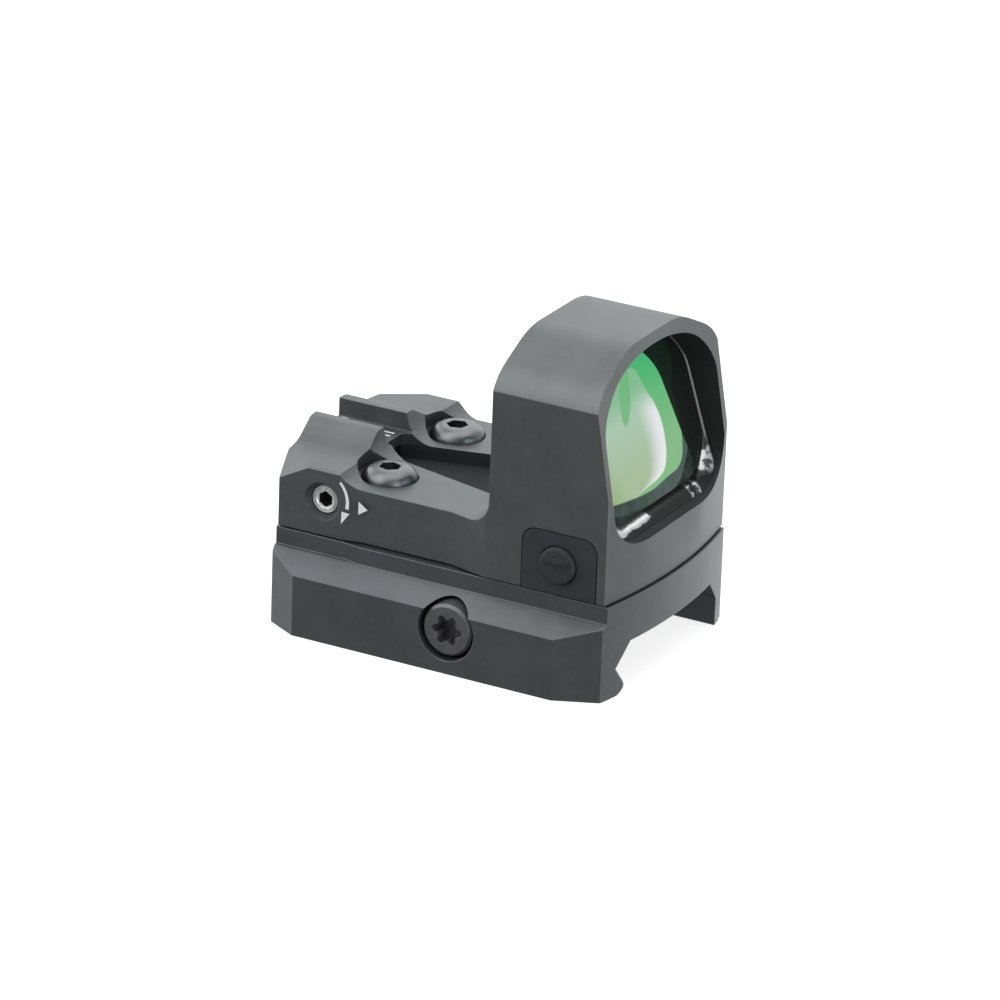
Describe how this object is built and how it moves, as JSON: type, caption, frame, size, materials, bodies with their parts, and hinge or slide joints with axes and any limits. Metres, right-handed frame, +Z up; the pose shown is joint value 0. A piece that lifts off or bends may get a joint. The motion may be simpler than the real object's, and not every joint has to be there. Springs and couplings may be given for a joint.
{
  "type": "miniature reflex sight on a rail clamp base",
  "caption": "Open reflex red dot finder with a hooded window, a rear hump with adjusters and a screw-clamped base for a toothed accessory rail.",
  "frame": {"origin": "centre of the flat face of the base that rests on top of the rail", "axes": "+Y along the rail towards the target, +X to the user's right (the cross screw head side), +Z up"},
  "size_m": [0.0302, 0.0406, 0.0346],
  "materials": {
    "anodised_body": "bead blasted dark grey anodising",
    "anodised_mount": "bead blasted dark grey anodising",
    "black_steel": "black oxide, satin",
    "bright_steel": "turned stainless steel",
    "satin_steel": "satin stainless steel",
    "spring_steel": "drawn wire",
    "black_rubber": "matt moulded",
    "grey_rubber": "matt moulded dark grey",
    "coated_glass": "dichroic coating, green reflection",
    "clear_glass": "polished",
    "gloss_black": "polished black",
    "black_sealant": "cured adhesive",
    "brass": "machined",
    "contact_brass": "gold flashed strip",
    "black_plastic": "moulded",
    "emitter_ceramic": "ceramic chip carrier",
    "board_laminate": "solder mask over laminate",
    "cell_steel": "nickel plated can",
    "black_foam": "closed cell foam",
    "ribbon_film": "polyimide film",
    "switch_metal": "stamped cover"
  },
  "bodies": {
    "sight": {"housing": "anodised_body", "base_mount": "anodised_mount", "jaw_guide_pins": "bright_steel", "jaw_spring": "spring_steel", "body_screws": "satin_steel", "locating_pins": "bright_steel", "base_gasket": "black_rubber", "lens_front_element": "coated_glass", "lens_rear_element": "clear_glass", "lens_bezel": "gloss_black", "lens_sealant": "black_sealant", "windage_retaining_pin": "bright_steel", "elevation_retaining_pin": "bright_steel", "emitter_window": "clear_glass", "circuit_board": "board_laminate", "circuit_chips": "black_plastic", "battery": "cell_steel", "battery_pad": "black_foam", "battery_contact_top": "contact_brass", "battery_contact_side": "contact_brass", "emitter_ribbon": "ribbon_film", "right_button_pad": "grey_rubber", "left_button_pad": "grey_rubber", "right_switch": "switch_metal", "left_switch": "switch_metal"},
    "clamp_screw_body": {"clamp_screw": "black_steel"},
    "jaw_body": {"clamp_jaw": "anodised_mount"},
    "windage_screw_body": {"windage_screw": "bright_steel", "windage_o_ring": "black_rubber"},
    "windage_carriage_body": {"windage_carriage": "brass"},
    "elevation_screw_body": {"elevation_screw": "bright_steel", "elevation_o_ring": "black_rubber"},
    "elevation_carriage_body": {"elevation_carriage": "black_plastic", "led_emitter": "emitter_ceramic"},
    "elevation_nut_body": {"elevation_nut": "brass"},
    "minus_button_body": {"minus_button": "grey_rubber"},
    "plus_button_body": {"plus_button": "grey_rubber"}
  },
  "joints": [
    {"name": "clamp_screw_turn", "type": "hinge", "parent": "sight", "child": "clamp_screw_body", "pos_m": [0, 0.00247, -0.0008], "axis": [1, 0, 0], "range_deg": [0, 1080]},
    {"name": "jaw_slide", "type": "slide", "parent": "sight", "child": "jaw_body", "axis": [-1, 0, 0], "range_m": [0, 0.0021]},
    {"name": "windage_turn", "type": "hinge", "parent": "sight", "child": "windage_screw_body", "pos_m": [0.01, -0.01366, 0.00848], "axis": [1, 0, 0], "range_deg": [-270, 270]},
    {"name": "windage_slide", "type": "slide", "parent": "sight", "child": "windage_carriage_body", "axis": [1, 0, 0], "range_m": [-0.0003, 0.0003]},
    {"name": "elevation_turn", "type": "hinge", "parent": "sight", "child": "elevation_screw_body", "pos_m": [0, -0.0156, 0.01], "axis": [0, 0, 1], "range_deg": [-270, 270]},
    {"name": "elevation_slide", "type": "slide", "parent": "windage_carriage_body", "child": "elevation_carriage_body", "axis": [0, 0, 1], "range_m": [-0.0003, 0.0003]},
    {"name": "elevation_nut_slide", "type": "slide", "parent": "sight", "child": "elevation_nut_body", "axis": [0, 0, 1], "range_m": [-0.0003, 0.0003]},
    {"name": "minus_button_press", "type": "slide", "parent": "sight", "child": "minus_button_body", "axis": [-1, 0, 0], "range_m": [0, 0.0004]},
    {"name": "plus_button_press", "type": "slide", "parent": "sight", "child": "plus_button_body", "axis": [1, 0, 0], "range_m": [0, 0.0004]}
  ],
  "couplings": [
    {"joint": "clamp_screw_turn", "follows": "jaw_slide", "rad_per_m": 8976},
    {"joint": "windage_turn", "follows": "windage_slide", "rad_per_m": 15708},
    {"joint": "elevation_turn", "follows": "elevation_slide", "rad_per_m": 15708},
    {"joint": "elevation_nut_slide", "follows": "elevation_slide", "ratio": 1}
  ]
}
